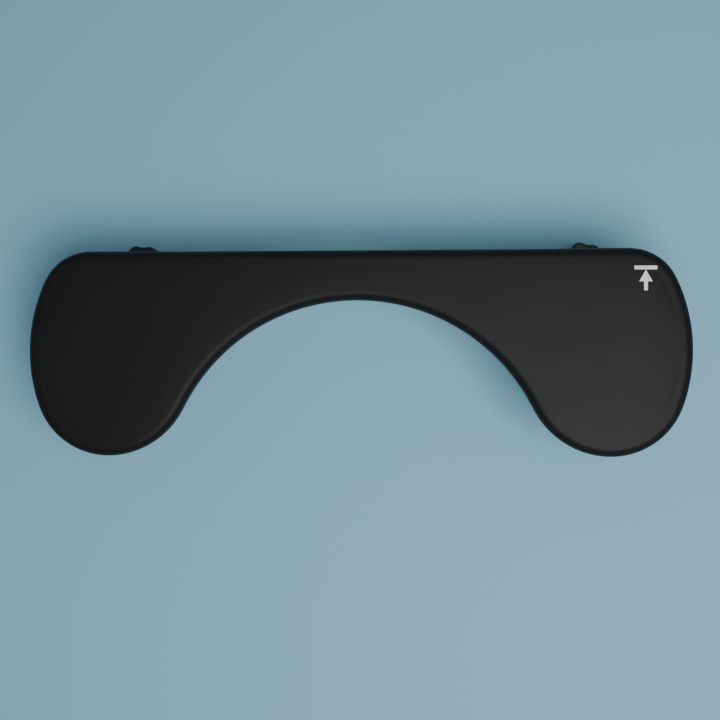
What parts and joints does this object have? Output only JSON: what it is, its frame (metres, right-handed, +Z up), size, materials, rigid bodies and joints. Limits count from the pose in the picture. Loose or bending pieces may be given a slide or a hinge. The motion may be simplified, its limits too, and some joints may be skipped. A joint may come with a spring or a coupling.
{
  "type": "clamp-on desk forearm rest",
  "caption": "Kidney-shaped padded forearm board for a desk's front edge, with a belly recess and screw clamps whose lobed knobs lift swivel feet under the desk top.",
  "frame": {"origin": "on the middle plane, where the desk's front face meets its top surface: the bracket webs' back faces lie in y = 0 and the jaw pads' undersides in z = 0", "axes": "+X to the user's right, along the board; +Y away from the user, over the desk; +Z up"},
  "size_m": [0.6596, 0.2201, 0.111],
  "materials": {
    "leatherette": "satin",
    "foam": "matte",
    "plywood": "matte",
    "lining": "matte",
    "powder_coat": "satin",
    "zinc_steel": "satin",
    "black_steel": "satin",
    "brass": "satin",
    "knob_plastic": "satin",
    "rubber": "matte"
  },
  "bodies": {
    "board": {"base_board": "plywood", "foam_pad": "foam", "cover_skin": "leatherette", "underside_lining": "lining", "left_bracket": "powder_coat", "left_jaw_pad": "rubber", "left_weld_nut": "powder_coat", "left_flange_screw_1": "black_steel", "left_insert_1": "brass", "left_flange_screw_2": "black_steel", "left_insert_2": "brass", "left_flange_screw_3": "black_steel", "left_insert_3": "brass", "left_flange_screw_4": "black_steel", "left_insert_4": "brass", "right_bracket": "powder_coat", "right_jaw_pad": "rubber", "right_weld_nut": "powder_coat", "right_flange_screw_1": "black_steel", "right_insert_1": "brass", "right_flange_screw_2": "black_steel", "right_insert_2": "brass", "right_flange_screw_3": "black_steel", "right_insert_3": "brass", "right_flange_screw_4": "black_steel", "right_insert_4": "brass"},
    "left_foot": {"left_pressure_foot": "zinc_steel", "left_foot_pad": "rubber"},
    "left_screw": {"left_clamp_screw": "zinc_steel", "left_knob": "knob_plastic"},
    "right_foot": {"right_pressure_foot": "zinc_steel", "right_foot_pad": "rubber"},
    "right_screw": {"right_clamp_screw": "zinc_steel", "right_knob": "knob_plastic"}
  },
  "joints": [
    {"name": "left_foot_lift", "type": "slide", "parent": "board", "child": "left_foot", "axis": [0, 0, 1], "range_m": [-0.018, 0.006]},
    {"name": "left_knob_turn", "type": "hinge", "parent": "left_foot", "child": "left_screw", "pos_m": [-0.237, 0.043, -0.064], "axis": [0, 0, 1], "range_deg": [-5184, 1728]},
    {"name": "right_foot_lift", "type": "slide", "parent": "board", "child": "right_foot", "axis": [0, 0, 1], "range_m": [-0.018, 0.006]},
    {"name": "right_knob_turn", "type": "hinge", "parent": "right_foot", "child": "right_screw", "pos_m": [0.237, 0.043, -0.064], "axis": [0, 0, 1], "range_deg": [-5184, 1728]}
  ],
  "couplings": [
    {"joint": "left_foot_lift", "follows": "left_knob_turn", "m_per_rad": 0.00019894},
    {"joint": "right_foot_lift", "follows": "right_knob_turn", "m_per_rad": 0.00019894}
  ]
}
